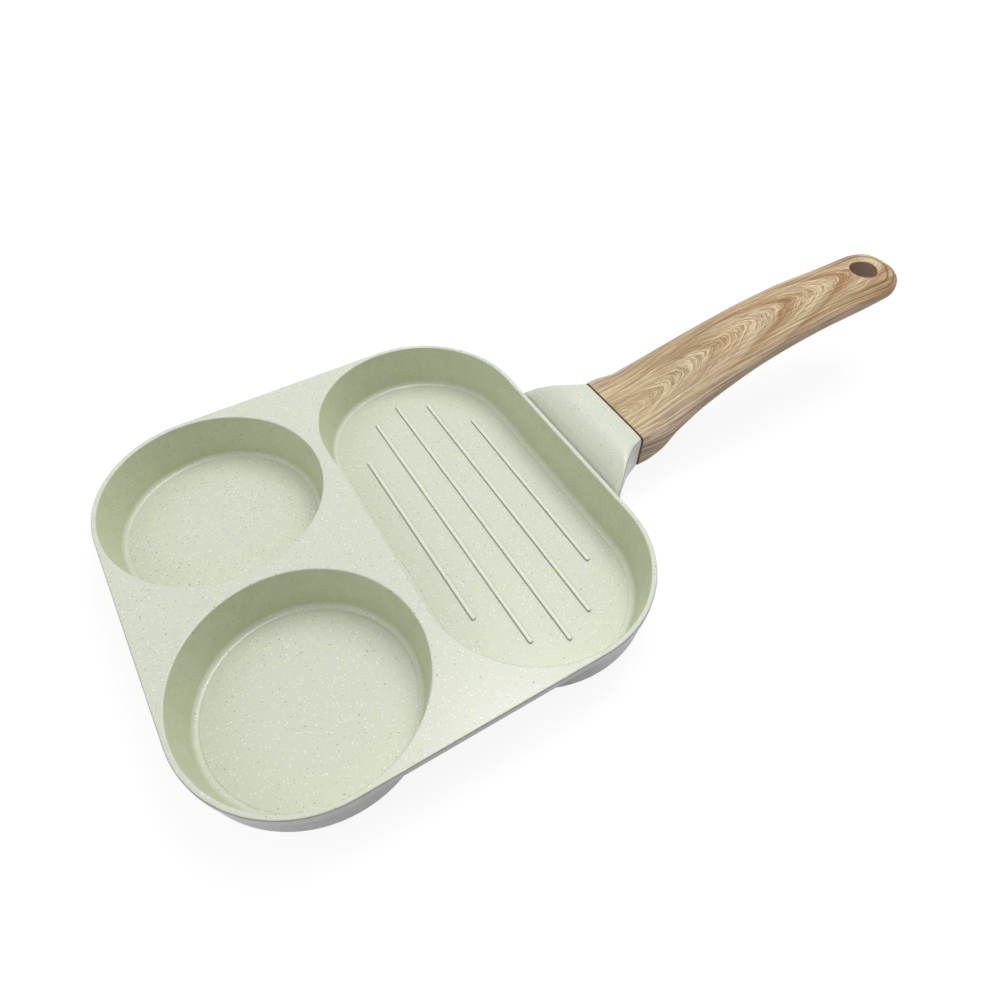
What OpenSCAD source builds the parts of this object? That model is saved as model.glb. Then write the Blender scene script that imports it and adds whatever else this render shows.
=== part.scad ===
// Divided frying pan: two round wells, one long grill well, a cast neck and a screwed-on handle.
// The origin is the centre of the grill well's underside. +X runs to the handle and +Z up.

/* [Wells] */
// Radius of a round well at its rim
round_r = 50; // [42:0.5:60]
// Width of the grill well at its rim
grill_w = 101.5; // [86:0.5:120]
// Flat land between two neighbouring wells
land_w = 6; // [5:0.5:14]
// Rim between a well and the outer edge of the pan
rim_w = 2.3; // [2:0.1:4]
// Slope of the inner walls, in degrees from upright
draft_in = 11; // [6:0.5:14]
// Radius between an inner wall and its floor
floor_fillet = 4; // [2:0.5:7]
// Rounding of the edge of each well
lip_r = 0.8; // [0.4:0.1:0.9]

/* [Pan body] */
// Height from the underside to the rim
pan_h = 24.6; // [20:0.5:36]
// Thickness of the floors
floor_t = 2.2; // [2:0.1:3.5]
// Thickness of the plate that joins the wells
plate_t = 3; // [2:0.1:3.5]
// Height of the lip around the plate
skirt_h = 4; // [3.6:0.1:6]
// Width of the lip around the plate
skirt_w = 2; // [1.6:0.1:3]
// Slope of the outer walls, in degrees from upright
draft_out = 5.5; // [2:0.5:6]
// Radius around the underside of each well
base_r = 7; // [3:0.5:8]

/* [Grill ribs] */
// Number of ribs
rib_n = 5; // [3:2:7]
// Width of a rib
rib_w = 2.2; // [1.6:0.1:3]
// Distance between the middle lines of two ribs
rib_pitch = 15.4; // [8:0.2:16]
// From the rim to the end of the middle rib
rib_margin = 19; // [14:0.5:40]
// How much each end of the next rib falls short of it
rib_step = 7.5; // [0:0.5:8]

/* [Neck] */
// Length of the neck from the rim to the handle
neck_l = 28.2; // [24:0.2:40]
// Half width of the neck where it meets the pan
root_half = 43; // [34:0.5:48]
// Half width of the neck where it meets the handle
seam_half = 23.4; // [20:0.2:27]
// Height of the neck's top above the rim at the handle
seam_rise = 5.4; // [3:0.2:8]
// Height of the neck at the handle
seam_h = 20.2; // [18:0.2:24]
// Length of the tang inside the handle
tang_l = 20; // [16:0.5:24]
// Width of the tang
tang_w = 24; // [16:0.5:30]
// Height of the tang
tang_h = 9; // [7:0.2:10]
// How far the tang's middle lies above the middle of the neck's end
tang_up = 2.4; // [0:0.2:3]

/* [Handle] */
// Length of the handle
handle_l = 187; // [160:1:220]
// Half width in the middle of the grip
grip_half = 19.6; // [16:0.2:22]
// Thickness in the middle of the grip
grip_h = 15.6; // [14:0.2:20]
// Height of the grip's top above the rim at its highest
grip_rise = 30; // [20:0.5:40]
// Radius of the hanging hole
hang_r = 7.5; // [5:0.5:9]
// From the tail to the middle of the hanging hole
hang_in = 19; // [16:0.5:26]
// Gap around the tang in its socket
tang_fit = 0.3; // [0.1:0.05:0.5]

/* [Handle screw] */
// Radius of the screw
screw_r = 2.5; // [2:0.5:3]
// From the neck to the middle of the screw
screw_in = 11; // [8:0.5:14]
// Radius of the screw's head
head_r = 4.4; // [3.8:0.1:5]
// Height of the screw's head
head_h = 2.6; // [2:0.1:3]
// Handle material between the screw's head and the tang
seat_t = 2.8; // [2:0.1:4]
// Gap around the screw in its hole
screw_fit = 0.25; // [0.1:0.05:0.4]

/* [Hidden] */

$fn = 96;
coat_green = [0.82, 0.85, 0.75];
wood_tan = [0.76, 0.62, 0.43];
steel_grey = [0.70, 0.70, 0.71];

// Places that follow from the sizes
grill_r = grill_w / 2;
pan_half = 2 * round_r + land_w / 2 + rim_w;
grill_end = pan_half - rim_w - grill_r;
round_x = -(grill_r + land_w + round_r);
round_y = round_r + land_w / 2;
edge_x = grill_r + rim_w;
seam_x = edge_x + neck_l;
seam_top = pan_h + seam_rise;
seam_bottom = seam_top - seam_h;
tail_x = seam_x + handle_l;
hang_x = tail_x - hang_in;
tang_z = (seam_top + seam_bottom - tang_h) / 2 + tang_up;
screw_x = seam_x + screw_in;
seat_z = tang_z - seat_t;
chin_l = screw_in + head_r + 0.6;
thread_gap = 0.05;
cut = 1;

// Points of an arc, from one angle to another
function arc(centre, r, from, to, steps = 8) =
    [for (i = [0:steps]) centre + r * [cos(from + (to - from) * i / steps), sin(from + (to - from) * i / steps)]];

// A smooth curve through points [place, value]: which span a place is in, the slope at a point, the value
function span_at(p, t, i = 0) = (i >= len(p) - 2 || t < p[i + 1][0]) ? i : span_at(p, t, i + 1);
function slope_at(p, i) =
    let (a = p[max(i - 1, 0)], b = p[min(i + 1, len(p) - 1)]) (b[1] - a[1]) / (b[0] - a[0]);
function curve(p, t) =
    let (i = span_at(p, t), a = p[i], b = p[i + 1], w = b[0] - a[0], u = (t - a[0]) / w)
    a[1] * (2 * u ^ 3 - 3 * u ^ 2 + 1) + slope_at(p, i) * w * (u ^ 3 - 2 * u ^ 2 + u)
    + b[1] * (3 * u ^ 2 - 2 * u ^ 3) + slope_at(p, i + 1) * w * (u ^ 3 - u ^ 2);

// One cross-section at x: a rounded box shape, squarer with a higher power
function section(x, half, top, bottom, power, n = 32) =
    [for (i = [0:n - 1])
        let (c = cos(360 * i / n), s = sin(360 * i / n))
        [x,
         half * sign(c) * pow(abs(c), 2 / power),
         (top + bottom) / 2 + (top - bottom) / 2 * sign(s) * pow(abs(s), 2 / power)]];

// A closed skin over a row of cross-sections
module loft(sections) {
    n = len(sections[0]);
    last = len(sections) - 1;
    sides = [for (i = [0:last - 1], j = [0:n - 1])
        [i * n + j, (i + 1) * n + j, (i + 1) * n + (j + 1) % n, i * n + (j + 1) % n]];
    polyhedron(
        points = [for (s = sections) each s],
        faces = concat(
            [[for (j = [0:n - 1]) j]],
            sides,
            [[for (j = [n - 1:-1:0]) last * n + j]]));
}

// Half profile of the hollow of a well with rim radius r, cut up through the rim
function hollow(r) =
    let (sn = sin(draft_in), cs = cos(draft_in), tn = tan(draft_in),
         foot_z = floor_t + floor_fillet * (1 - sn),
         foot = [r - (pan_h - foot_z) * tn - floor_fillet * cs, floor_t + floor_fillet],
         lip_z = pan_h - lip_r * (1 - sn),
         lip = [r - (pan_h - lip_z) * tn + lip_r * cs, pan_h - lip_r])
    concat(
        [[0, floor_t]],
        arc(foot, floor_fillet, -90, -draft_in),
        arc(lip, lip_r, 180 - draft_in, 90),
        [[lip[0], pan_h + cut], [0, pan_h + cut]]);

// Half profile of the solid cup around a well with rim radius r
function cup(r) =
    let (sn = sin(draft_out), cs = cos(draft_out), tn = tan(draft_out),
         wall_top = pan_h - plate_t / 2,
         outer = r + rim_w,
         turn_z = base_r * (1 - sn),
         turn = [outer - (pan_h - turn_z) * tn - base_r * cs, base_r])
    concat(
        [[0, wall_top], [0, 0]],
        arc(turn, base_r, -90, -draft_out),
        [[outer - (pan_h - wall_top) * tn, wall_top]]);

// A round profile drawn out along Y, with round ends
module long_round(profile, half) {
    for (turn = [0, 180])
        rotate(turn) translate([0, half, 0]) rotate_extrude(angle = 180) polygon(profile);
    rotate([90, 0, 0]) linear_extrude(2 * half, center = true) {
        polygon(profile);
        mirror([1, 0]) polygon(profile);
    }
}

module at_round_wells() {
    for (side = [-1, 1]) translate([round_x, side * round_y, 0]) children();
}

// Outline of the pan seen from above, drawn in by an inset
module outline(inset) {
    far_r = round_r + rim_w - inset;
    near_r = grill_r + rim_w - inset;
    for (side = [-1, 1]) {
        translate([round_x, side * round_y]) circle(far_r);
        translate([0, side * grill_end]) circle(near_r);
    }
    translate([round_x, inset - pan_half]) square([-round_x, 2 * (pan_half - inset)]);
    translate([round_x - far_r, -round_y]) square([far_r - round_x + near_r, 2 * round_y]);
    translate([0, -grill_end]) square([near_r, 2 * grill_end]);
}

// The plate with a rounded top edge and a lip below it all around
module plate() {
    edge_steps = 3;
    for (i = [0:edge_steps]) {
        a = 90 * i / edge_steps;
        translate([0, 0, pan_h - plate_t])
            linear_extrude(plate_t - lip_r * (1 - sin(a))) outline(lip_r * (1 - cos(a)));
    }
    translate([0, 0, pan_h - skirt_h]) linear_extrude(skirt_h - lip_r) difference() {
        outline(0);
        outline(skirt_w);
    }
}

// Raised ribs on the grill well's floor, with round ends
module ribs() {
    middle = (rib_n - 1) / 2;
    for (i = [-middle:middle]) {
        half = pan_half - rim_w - rib_margin - rib_step * i ^ 2 - rib_w / 2;
        translate([i * rib_pitch, 0, floor_t]) {
            rotate([90, 0, 0]) cylinder(h = 2 * half, d = rib_w, center = true, $fn = 32);
            for (side = [-1, 1]) translate([0, side * half, 0]) sphere(d = rib_w, $fn = 32);
        }
    }
}

// The flared neck, from inside the pan's wall to the handle. Its curves are [place from the rim, value], and
// the heights of its top are from the rim.
module neck() {
    wall_in = 2.5;
    break_r = 0.3;
    squareness = 16;
    root_z = 7;
    steps = 20;
    half = [[-wall_in, root_half + 2.6], [0, root_half], [0.28 * neck_l, root_half * 0.85],
            [0.47 * neck_l, seam_half * 1.36], [0.71 * neck_l, seam_half * 1.15], [neck_l, seam_half]];
    top = [[-wall_in, -6.8], [0, -4.4], [0.12 * neck_l, -1.3], [0.28 * neck_l, seam_rise - 3.1],
           [0.47 * neck_l, seam_rise - 0.3], [0.71 * neck_l, seam_rise + 0.8], [neck_l, seam_rise]];
    bottom = [[-wall_in, root_z], [0.3 * neck_l, root_z], [neck_l, seam_bottom]];
    stations = [for (i = [0:steps]) -wall_in + (neck_l - break_r + wall_in) * i / steps];
    loft(concat(
        [for (d = stations)
            section(edge_x + d, curve(half, d), pan_h + curve(top, d), curve(bottom, d), squareness)],
        [section(seam_x, seam_half - break_r, seam_top - break_r, seam_bottom + break_r, squareness)]));
}

module tang() {
    translate([seam_x - cut, -tang_w / 2, tang_z]) cube([tang_l + cut, tang_w, tang_h]);
}

module pan_body() color(coat_green) {
    difference() {
        union() {
            plate();
            at_round_wells() rotate_extrude() polygon(cup(round_r));
            long_round(cup(grill_r), grill_end);
            neck();
            tang();
        }
        at_round_wells() rotate_extrude() polygon(hollow(round_r));
        long_round(hollow(grill_r), grill_end);
        translate([screw_x, 0, tang_z - cut]) cylinder(h = tang_h + 2 * cut, r = screw_r + thread_gap);
    }
    ribs();
}

// Curves along the handle as [place from the neck, value]. Heights are from the rim. The front end stays
// deep as far as the screw, then the grip rises in one sweep and levels out at the tail.
function handle_top(d) = curve(
    [[0, seam_rise + 0.1], [0.107 * handle_l, seam_rise + 3.6], [0.24 * handle_l, 0.57 * grip_rise],
     [0.43 * handle_l, 0.85 * grip_rise], [0.64 * handle_l, 0.99 * grip_rise], [0.83 * handle_l, grip_rise],
     [handle_l, 1.04 * grip_rise]], d);
function handle_bottom(d) =
    let (front_z = seam_rise - seam_h, chin_z = front_z + 1.2, bend_z = 0.4 * grip_rise - grip_h - 0.2)
    curve(
        [[0, front_z], [chin_l / 2, (front_z + chin_z) / 2], [chin_l, chin_z],
         [chin_l + 7, 0.36 * chin_z + 0.64 * bend_z], [chin_l + 15, bend_z],
         [0.267 * handle_l, 0.6 * grip_rise - grip_h], [0.455 * handle_l, 0.87 * grip_rise - grip_h],
         [0.64 * handle_l, 0.97 * grip_rise - grip_h + 1.3], [0.83 * handle_l, grip_rise - grip_h + 1.4],
         [handle_l, grip_rise - grip_h + 3]], d);
function handle_half(d) = curve(
    [[0, seam_half + 0.3], [chin_l / 2, seam_half + 1.7], [0.107 * handle_l, seam_half + 0.9],
     [0.214 * handle_l, grip_half + 2.3], [0.374 * handle_l, grip_half + 0.3],
     [0.56 * handle_l, grip_half - 0.5], [0.75 * handle_l, grip_half - 1.1], [handle_l, grip_half - 2.2]], d);

// The handle before its socket and holes. The tail is round seen from above, and its edge is rounded too.
module handle_form() {
    tail_round = 16;
    tail_edge = 6;
    break_r = 0.5;
    end_power = 14;
    grip_power = 2.6;
    steps = 34;
    tail_steps = 10;
    straight = handle_l - tail_round;
    function power(d) = grip_power + (end_power - grip_power) * exp(-d / 6);
    function shrink(d, length, roundness) =
        pow(1 - pow(max(d - handle_l + length, 0) / length, roundness), 1 / roundness);
    function slice(x, half, middle, thick, p) = section(x, half, middle + thick, middle - thick, p);
    stations = concat(
        [for (i = [0:steps]) break_r + (straight - break_r) * i / steps],
        [for (i = [1:tail_steps]) straight + tail_round * sin(88.5 * i / tail_steps)]);
    loft(concat(
        [section(seam_x, handle_half(0) - break_r, pan_h + handle_top(0) - break_r,
                 pan_h + handle_bottom(0) + break_r, end_power)],
        [for (d = stations)
            let (thick = (handle_top(d) - handle_bottom(d)) / 2, middle = pan_h + handle_bottom(d) + thick)
            slice(seam_x + d, handle_half(d) * shrink(d, tail_round, 2.3), middle,
                  thick * shrink(d, tail_edge, 2), power(d))]));
}

module handle() color(wood_tan) difference() {
    handle_form();
    translate([seam_x - cut, -tang_w / 2 - tang_fit, tang_z])
        cube([tang_l + tang_fit + cut, tang_w + 2 * tang_fit, tang_h + tang_fit]);
    translate([screw_x, 0, 0]) {
        cylinder(h = seat_z, r = head_r + screw_fit);
        cylinder(h = tang_z + cut, r = screw_r + screw_fit);
    }
    translate([hang_x, 0, 0]) cylinder(h = pan_h + 2 * grip_rise, r = hang_r);
}

module handle_screw() color(steel_grey) {
    slot_w = 1.1;
    slot_l = 5;
    slot_h = 1.6;
    tip = 1;
    translate([screw_x, 0, seat_z - head_h]) {
        difference() {
            cylinder(h = head_h, r = head_r);
            for (turn = [0, 90]) rotate(turn)
                translate([-slot_l / 2, -slot_w / 2, -cut]) cube([slot_l, slot_w, slot_h + cut]);
        }
        translate([0, 0, head_h - cut]) cylinder(h = seat_t + tang_h - tip + cut, r = screw_r);
    }
}

pan_body();
handle();
handle_screw();
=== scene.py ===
import bpy
import bmesh
import math
import numpy as np
from functools import partial
from mathutils import Matrix, Quaternion, Vector
from mathutils.kdtree import KDTree


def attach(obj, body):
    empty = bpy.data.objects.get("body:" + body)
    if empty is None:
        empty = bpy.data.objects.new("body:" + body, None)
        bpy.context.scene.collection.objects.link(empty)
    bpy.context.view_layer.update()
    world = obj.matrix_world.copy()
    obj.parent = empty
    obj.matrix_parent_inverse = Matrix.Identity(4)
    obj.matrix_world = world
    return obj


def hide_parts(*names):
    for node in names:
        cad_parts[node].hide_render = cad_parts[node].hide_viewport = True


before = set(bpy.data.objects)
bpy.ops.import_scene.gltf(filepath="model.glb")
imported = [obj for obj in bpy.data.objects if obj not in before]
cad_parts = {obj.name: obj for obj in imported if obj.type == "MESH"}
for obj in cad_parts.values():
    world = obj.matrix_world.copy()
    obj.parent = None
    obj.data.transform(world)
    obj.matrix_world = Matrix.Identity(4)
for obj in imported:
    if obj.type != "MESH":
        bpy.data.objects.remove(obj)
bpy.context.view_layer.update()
scene = bpy.context.scene
mm = 0.001  # everything below is in metres

# Helpers


def toLinear(hexColour):
    channels = [int(hexColour[i:i + 2], 16) / 255 for i in (1, 3, 5)]
    linear = [c / 12.92 if c <= 0.04045 else ((c + 0.055) / 1.055) ** 2.4 for c in channels]
    return (*linear, 1.0)


def addNode(tree, kind, inputs=(), output=0, **settings):  # gives one output; its node has the others
    node = tree.nodes.new(kind)
    for key, value in settings.items():
        setattr(node, key, value)
    for key, value in inputs.items() if isinstance(inputs, dict) else enumerate(inputs):
        if isinstance(value, bpy.types.NodeSocket):
            tree.links.new(value, node.inputs[key])
        else:
            node.inputs[key].default_value = value
    return node.outputs[output] if node.outputs else node


def newObject(name, mesh):
    obj = bpy.data.objects.new(name, mesh)
    scene.collection.objects.link(obj)
    return obj


def arc(centreX, centreZ, radius, start, end, steps):
    angles = [math.radians(start + (end - start) * i / steps) for i in range(steps + 1)]
    return [(centreX + radius * math.cos(a), centreZ + radius * math.sin(a)) for a in angles]


def loft(name, rings):  # a closed skin over a row of rings with equal numbers of points
    bm = bmesh.new()
    rows = [[bm.verts.new(point) for point in ring] for ring in rings]
    count = len(rings[0])
    for lower, upper in zip(rows, rows[1:]):
        for i in range(count):
            j = (i + 1) % count
            bm.faces.new((lower[i], lower[j], upper[j], upper[i]))
    bm.faces.new(list(reversed(rows[0])))
    bm.faces.new(rows[-1])
    bmesh.ops.remove_doubles(bm, verts=bm.verts[:], dist=0.002 * mm)
    bmesh.ops.recalc_face_normals(bm, faces=bm.faces[:])
    mesh = bpy.data.meshes.new(name)
    bm.to_mesh(mesh)
    bm.free()
    return newObject(name, mesh)


def cylinder(name, x, y, low, high, radius, steps=96):
    angles = [2 * math.pi * i / steps for i in range(steps)]
    circle = [(x + radius * math.cos(a), y + radius * math.sin(a)) for a in angles]
    return loft(name, [[(px, py, z) for px, py in circle] for z in (low, high)])


def block(name, low, high):
    corners = [(low[0], low[1]), (high[0], low[1]), (high[0], high[1]), (low[0], high[1])]
    return loft(name, [[(x, y, z) for x, y in corners] for z in (low[2], high[2])])


def toPlainMesh(obj):  # applies what modifiers do, and takes them off
    evaluated = obj.evaluated_get(bpy.context.evaluated_depsgraph_get())
    mesh = bpy.data.meshes.new_from_object(evaluated)
    obj.modifiers.clear()
    obj.data = mesh
    return obj


def combine(target, tools, operation):  # joins the tools to the target or cuts them out, and deletes them
    for tool in tools:
        step = target.modifiers.new("Combine", "BOOLEAN")
        step.object = tool
        step.operation = operation
        step.solver = "MANIFOLD"
        toPlainMesh(target)
        bpy.data.objects.remove(tool)
    return target


def finishShading(obj, sharpAngle):  # smooth, with creases where faces meet at more than the angle
    obj.data.shade_smooth()
    obj.data.set_sharp_from_angle(angle=math.radians(sharpAngle))
    weighted = obj.modifiers.new("Weighted", "WEIGHTED_NORMAL")
    weighted.keep_sharp = True
    toPlainMesh(obj)


def curveAt(points, place):  # a smooth curve through points (place, value)
    last = len(points) - 1
    i = next((k for k in range(last - 1) if place < points[k + 1][0]), last - 1)

    def slope(k):
        a, b = points[max(k - 1, 0)], points[min(k + 1, last)]
        return (b[1] - a[1]) / (b[0] - a[0])
    (placeA, a), (placeB, b) = points[i], points[i + 1]
    width = placeB - placeA
    u = (place - placeA) / width
    return (a * (2 * u ** 3 - 3 * u ** 2 + 1) + slope(i) * width * (u ** 3 - 2 * u ** 2 + u)
            + b * (3 * u ** 2 - 2 * u ** 3) + slope(i + 1) * width * (u ** 3 - u ** 2))


def section(x, half, top, bottom, power, angles):  # a rounded box shape, squarer with a higher power
    ring = []
    for angle in angles:
        c, s = math.cos(angle), math.sin(angle)
        y = half * math.copysign(abs(c) ** (2 / power), c)
        z = (top + bottom) / 2 + (top - bottom) / 2 * math.copysign(abs(s) ** (2 / power), s)
        ring.append((x, y, z))
    return ring


# Pan body

pan = {
    "roundRadius": 50 * mm,
    "grillRadius": 50.75 * mm,
    "land": 6 * mm,
    "rim": 2.3 * mm,
    "height": 24.6 * mm,
    "floor": 2.2 * mm,
    "plate": 3 * mm,
    "lipHeight": 4 * mm,
    "lipWidth": 2 * mm,
    "innerDraft": 9.5,
    "outerDraft": 5.5,
    "floorFillet": 3 * mm,
    "groove": 0.15 * mm,  # how far the fillet runs down beside the floor's raised edge
    "floorStep": 0.55 * mm,  # the width over which that edge drops
    "rimRound": 0.8 * mm,
    "baseRound": 7 * mm,
    "edgeBreak": 0.4 * mm,
    "roundSteps": 96,
    "cornerSteps": 64,
    "sharpAngle": 32,
}
panHalf = 2 * pan["roundRadius"] + pan["land"] / 2 + pan["rim"]
grillEnd = panHalf - pan["rim"] - pan["grillRadius"]
roundX = -(pan["grillRadius"] + pan["land"] + pan["roundRadius"])
roundY = pan["roundRadius"] + pan["land"] / 2
edgeX = pan["grillRadius"] + pan["rim"]
wells = [
    {"x": roundX, "y": roundY, "straight": 0, "radius": pan["roundRadius"]},
    {"x": roundX, "y": -roundY, "straight": 0, "radius": pan["roundRadius"]},
    {"x": 0, "y": 0, "straight": grillEnd, "radius": pan["grillRadius"]},
]


def wellRing(well, radius, z):
    steps = pan["roundSteps"]
    ring = []
    for side, start in ((1, 0), (-1, 180)):
        for i in range(steps + 1):
            angle = math.radians(start + 180 * i / steps)
            ring.append((well["x"] + radius * math.cos(angle),
                         well["y"] + side * well["straight"] + radius * math.sin(angle), z))
    return ring


def hollowProfile(radius):  # (radius, height) from the floor up through the rim
    sine, cosine, lean = (f(math.radians(pan["innerDraft"])) for f in (math.sin, math.cos, math.tan))
    height, fillet, rimRound = pan["height"], pan["floorFillet"], pan["rimRound"]
    floor, low, step = pan["floor"], pan["floor"] - pan["groove"], pan["floorStep"]
    footTop = low + fillet * (1 - sine)
    floorX = radius - (height - footTop) * lean - fillet * cosine
    lipFoot = height - rimRound * (1 - sine)
    lipX = radius - (height - lipFoot) * lean + rimRound * cosine
    # The floor's edge drops a little, then the fillet rises from the groove to the wall
    drop = []
    for u in (0, 0.2, 0.4, 0.6, 0.8):
        drop.append((floorX - step * (1 - u), floor - (floor - low) * (3 * u ** 2 - 2 * u ** 3)))
    foot = arc(floorX, low + fillet, fillet, -90, -pan["innerDraft"], 18)
    lip = arc(lipX, height - rimRound, rimRound, 180 - pan["innerDraft"], 90, 8)
    return drop + foot + lip + [(lipX, height + 2 * mm)]


def cupProfile(radius):  # (radius, height) of the outside, from the underside up into the plate
    draft = pan["outerDraft"]
    sine, cosine, lean = (f(math.radians(draft)) for f in (math.sin, math.cos, math.tan))
    outer, base, top = radius + pan["rim"], pan["baseRound"], pan["height"] - pan["plate"] / 2
    turnTop = base * (1 - sine)
    turnX = outer - (pan["height"] - turnTop) * lean - base * cosine
    return arc(turnX, base, base, -90, -draft, 14) + [(outer - (pan["height"] - top) * lean, top)]


def outlineRing(inset, z):  # the pan's outline seen from above
    roundEdge = pan["roundRadius"] + pan["rim"]
    corners = [(0, grillEnd, edgeX, 0), (roundX, roundY, roundEdge, 90),
               (roundX, -roundY, roundEdge, 180), (0, -grillEnd, edgeX, 270)]
    ring = []
    for x, y, radius, start in corners:
        corner = arc(x, y, radius - inset, start, start + 90, pan["cornerSteps"])
        ring += [(px, py, z) for px, py in corner]
    return ring


def plateRings():
    top, rimRound, edge = pan["height"], pan["rimRound"], pan["edgeBreak"]
    foot, width = top - pan["lipHeight"], pan["lipWidth"]
    rows = arc(rimRound, top - rimRound, rimRound, 90, 180, 8)
    rows += arc(edge, foot + edge, edge, 180, 270, 4)
    rows += arc(width - edge, foot + edge, edge, 270, 360, 4)
    rows += arc(width + edge, top - pan["plate"] - edge, edge, 180, 90, 4)
    return [outlineRing(inset, z) for inset, z in rows]


neck = {
    "length": 28.2 * mm,
    "rootHalf": 43 * mm,
    "seamHalf": 23.4 * mm,
    "seamRise": 5.4 * mm,
    "seamHeight": 20.2 * mm,
    "wallIn": 2.5 * mm,
    "endRound": 0.5 * mm,
    "rootHeight": 7 * mm,
    "squareness": 16,
    "steps": 60,
    "around": 96,
}
seamX = edgeX + neck["length"]
seamTop = pan["height"] + neck["seamRise"]
seamBottom = seamTop - neck["seamHeight"]


def neckRings():  # the curves give half the width and the heights, by the distance from the pan's edge
    length, rise, half, root = neck["length"], neck["seamRise"], neck["seamHalf"], neck["rootHalf"]
    wallIn, endRound, rootHeight = neck["wallIn"], neck["endRound"], neck["rootHeight"]
    halfCurve = [(-wallIn, root + 2.6 * mm), (0, root), (0.28 * length, 0.85 * root),
                 (0.47 * length, 1.36 * half), (0.71 * length, 1.15 * half), (length, half)]
    topCurve = [(-wallIn, -6.8 * mm), (0, -4.4 * mm), (0.12 * length, -1.3 * mm),
                (0.28 * length, rise - 3.1 * mm), (0.47 * length, rise - 0.3 * mm),
                (0.71 * length, rise + 0.8 * mm), (length, rise)]
    bottomCurve = [(-wallIn, rootHeight), (0.3 * length, rootHeight), (length, seamBottom)]
    angles = [2 * math.pi * (i + 0.5) / neck["around"] for i in range(neck["around"])]
    rings = []
    for i in range(neck["steps"] + 1):
        d = -wallIn + (length - endRound + wallIn) * i / neck["steps"]
        rings.append(section(edgeX + d, curveAt(halfCurve, d), pan["height"] + curveAt(topCurve, d),
                             curveAt(bottomCurve, d), neck["squareness"], angles))
    for inset, ahead in arc(endRound, 0, endRound, 180, 90, 5)[1:]:
        rings.append(section(seamX - endRound + ahead, half - inset, seamTop - inset, seamBottom + inset,
                             neck["squareness"], angles))
    return rings


tang = {
    "length": 20 * mm,
    "width": 24 * mm,
    "height": 9 * mm,
    "up": 2.4 * mm,
    "holeIn": 11 * mm,
    "holeRadius": 2.55 * mm,
}
tangZ = (seamTop + seamBottom - tang["height"]) / 2 + tang["up"]
screwX = seamX + tang["holeIn"]

ribs = {
    "Count": 5,
    "Pitch": 15.4 * mm,
    "Middle half length": panHalf - pan["rim"] - 19 * mm,
    "Step": 7.5 * mm,
    "Width": 2.2 * mm,
    "Height": 1.1 * mm,
    "Fullness": 0.6,  # below 1, the sides are steeper than a ball's
    "Floor": pan["floor"],
}


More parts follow.
